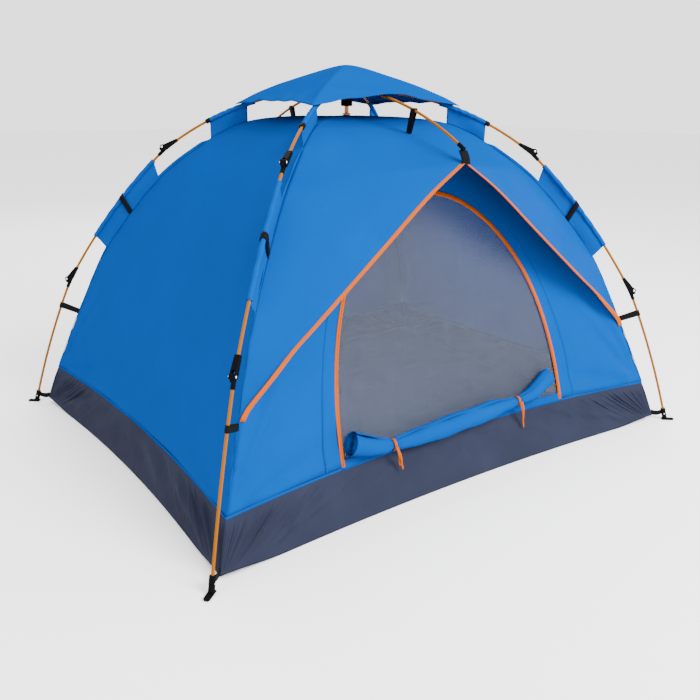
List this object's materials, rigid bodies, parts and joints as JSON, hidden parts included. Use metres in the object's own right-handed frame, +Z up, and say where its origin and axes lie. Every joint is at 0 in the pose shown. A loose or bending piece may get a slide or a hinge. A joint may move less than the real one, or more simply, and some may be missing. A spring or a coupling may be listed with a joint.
{
  "type": "pop up tent",
  "caption": "Dome tent with jointed external legs on an umbrella hub, a tub floor, an arched mesh door under an eave and a vent cap.",
  "frame": {"origin": "on the ground under the hub, in the middle of the floor", "axes": "+Z up, the door faces -Y, the long side of the floor runs along X"},
  "size_m": [2.1478, 1.7488, 1.3848],
  "materials": {
    "orange_rod": "smooth resin bonded glass fibre rod",
    "black_plastic": "moulded nylon, satin",
    "copper_stem": "copper brown metal tube",
    "blue_cloth": "coated polyester, slight sheen",
    "grey_cloth": "coated groundsheet polyester",
    "grey_mesh": "fine insect mesh"
  },
  "bodies": {
    "canopy": {"ground_sheet": "grey_cloth", "tub_wall": "grey_cloth", "left_panel": "blue_cloth", "right_panel": "blue_cloth", "front_awning": "blue_cloth", "back_awning": "blue_cloth", "front_wall": "blue_cloth", "back_wall": "blue_cloth", "door_screen": "grey_mesh", "door_roll": "blue_cloth"},
    "hub": {"hub_crown": "black_plastic", "hub_stem": "copper_stem", "cap_post": "black_plastic", "top_cap": "blue_cloth"},
    "collar": {"hub_collar": "black_plastic"},
    "upper_fr": {"arm_socket_fr": "black_plastic", "upper_pole_fr": "orange_rod", "upper_elbow_socket_fr": "black_plastic"},
    "mid_fr": {"upper_elbow_tab_fr": "black_plastic", "mid_pole_fr": "orange_rod", "lower_elbow_socket_fr": "black_plastic"},
    "lower_fr": {"lower_elbow_tab_fr": "black_plastic", "lower_pole_fr": "orange_rod", "foot_fr": "black_plastic"},
    "upper_br": {"arm_socket_br": "black_plastic", "upper_pole_br": "orange_rod", "upper_elbow_socket_br": "black_plastic"},
    "mid_br": {"upper_elbow_tab_br": "black_plastic", "mid_pole_br": "orange_rod", "lower_elbow_socket_br": "black_plastic"},
    "lower_br": {"lower_elbow_tab_br": "black_plastic", "lower_pole_br": "orange_rod", "foot_br": "black_plastic"},
    "upper_bl": {"arm_socket_bl": "black_plastic", "upper_pole_bl": "orange_rod", "upper_elbow_socket_bl": "black_plastic"},
    "mid_bl": {"upper_elbow_tab_bl": "black_plastic", "mid_pole_bl": "orange_rod", "lower_elbow_socket_bl": "black_plastic"},
    "lower_bl": {"lower_elbow_tab_bl": "black_plastic", "lower_pole_bl": "orange_rod", "foot_bl": "black_plastic"},
    "upper_fl": {"arm_socket_fl": "black_plastic", "upper_pole_fl": "orange_rod", "upper_elbow_socket_fl": "black_plastic"},
    "mid_fl": {"upper_elbow_tab_fl": "black_plastic", "mid_pole_fl": "orange_rod", "lower_elbow_socket_fl": "black_plastic"},
    "lower_fl": {"lower_elbow_tab_fl": "black_plastic", "lower_pole_fl": "orange_rod", "foot_fl": "black_plastic"},
    "eave_front": {"eave_socket_front": "black_plastic", "eave_pole_front": "orange_rod", "eave_tip_front": "black_plastic"},
    "eave_back": {"eave_socket_back": "black_plastic", "eave_pole_back": "orange_rod", "eave_tip_back": "black_plastic"}
  },
  "joints": [
    {"name": "hub_lower", "type": "slide", "parent": "canopy", "child": "hub", "axis": [0, 0, -1], "range_m": [0, 1.1], "deforming": ["tub_wall", "left_panel", "right_panel", "front_awning", "back_awning", "front_wall", "back_wall", "door_screen", "door_roll", "top_cap"]},
    {"name": "collar_release", "type": "slide", "parent": "hub", "child": "collar", "axis": [0, 0, -1], "range_m": [0, 0.012]},
    {"name": "arm_fr", "type": "hinge", "parent": "hub", "child": "upper_fr", "pos_m": [0.03492, -0.02838, 1.297], "axis": [-0.6307, -0.776, 0], "range_deg": [0, 17.8]},
    {"name": "upper_elbow_fr", "type": "hinge", "parent": "upper_fr", "child": "mid_fr", "pos_m": [0.55624, -0.45205, 1.08147], "axis": [-0.6307, -0.776, 0], "range_deg": [0, 33.1]},
    {"name": "lower_elbow_fr", "type": "hinge", "parent": "mid_fr", "child": "lower_fr", "pos_m": [0.89192, -0.72484, 0.54928], "axis": [-0.6307, -0.776, 0], "range_deg": [0, 185]},
    {"name": "arm_br", "type": "hinge", "parent": "hub", "child": "upper_br", "pos_m": [0.03492, 0.02838, 1.297], "axis": [0.6307, -0.776, 0], "range_deg": [0, 17.8]},
    {"name": "upper_elbow_br", "type": "hinge", "parent": "upper_br", "child": "mid_br", "pos_m": [0.55624, 0.45205, 1.08147], "axis": [0.6307, -0.776, 0], "range_deg": [0, 33.1]},
    {"name": "lower_elbow_br", "type": "hinge", "parent": "mid_br", "child": "lower_br", "pos_m": [0.89192, 0.72484, 0.54928], "axis": [0.6307, -0.776, 0], "range_deg": [0, 185]},
    {"name": "arm_bl", "type": "hinge", "parent": "hub", "child": "upper_bl", "pos_m": [-0.03492, 0.02838, 1.297], "axis": [0.6307, 0.776, 0], "range_deg": [0, 17.8]},
    {"name": "upper_elbow_bl", "type": "hinge", "parent": "upper_bl", "child": "mid_bl", "pos_m": [-0.55624, 0.45205, 1.08147], "axis": [0.6307, 0.776, 0], "range_deg": [0, 33.1]},
    {"name": "lower_elbow_bl", "type": "hinge", "parent": "mid_bl", "child": "lower_bl", "pos_m": [-0.89192, 0.72484, 0.54928], "axis": [0.6307, 0.776, 0], "range_deg": [0, 185]},
    {"name": "arm_fl", "type": "hinge", "parent": "hub", "child": "upper_fl", "pos_m": [-0.03492, -0.02838, 1.297], "axis": [-0.6307, 0.776, 0], "range_deg": [0, 17.8]},
    {"name": "upper_elbow_fl", "type": "hinge", "parent": "upper_fl", "child": "mid_fl", "pos_m": [-0.55624, -0.45205, 1.08147], "axis": [-0.6307, 0.776, 0], "range_deg": [0, 33.1]},
    {"name": "lower_elbow_fl", "type": "hinge", "parent": "mid_fl", "child": "lower_fl", "pos_m": [-0.89192, -0.72484, 0.54928], "axis": [-0.6307, 0.776, 0], "range_deg": [0, 185]},
    {"name": "eave_front", "type": "hinge", "parent": "hub", "child": "eave_front", "pos_m": [0, -0.045, 1.297], "axis": [-1, 0, 0], "range_deg": [0, 14]},
    {"name": "eave_back", "type": "hinge", "parent": "hub", "child": "eave_back", "pos_m": [0, 0.045, 1.297], "axis": [1, 0, 0], "range_deg": [0, 14]}
  ],
  "couplings": [
    {"joint": "collar_release", "follows": "hub_lower", "ratio": 0.010909},
    {"joint": "arm_fr", "follows": "hub_lower", "rad_per_m": 0.28242},
    {"joint": "upper_elbow_fr", "follows": "hub_lower", "rad_per_m": 0.52518},
    {"joint": "lower_elbow_fr", "follows": "hub_lower", "rad_per_m": 2.9353},
    {"joint": "arm_br", "follows": "hub_lower", "rad_per_m": 0.28242},
    {"joint": "upper_elbow_br", "follows": "hub_lower", "rad_per_m": 0.52518},
    {"joint": "lower_elbow_br", "follows": "hub_lower", "rad_per_m": 2.9353},
    {"joint": "arm_bl", "follows": "hub_lower", "rad_per_m": 0.28242},
    {"joint": "upper_elbow_bl", "follows": "hub_lower", "rad_per_m": 0.52518},
    {"joint": "lower_elbow_bl", "follows": "hub_lower", "rad_per_m": 2.9353},
    {"joint": "arm_fl", "follows": "hub_lower", "rad_per_m": 0.28242},
    {"joint": "upper_elbow_fl", "follows": "hub_lower", "rad_per_m": 0.52518},
    {"joint": "lower_elbow_fl", "follows": "hub_lower", "rad_per_m": 2.9353},
    {"joint": "eave_front", "follows": "hub_lower", "rad_per_m": 0.22213},
    {"joint": "eave_back", "follows": "hub_lower", "rad_per_m": 0.22213}
  ]
}
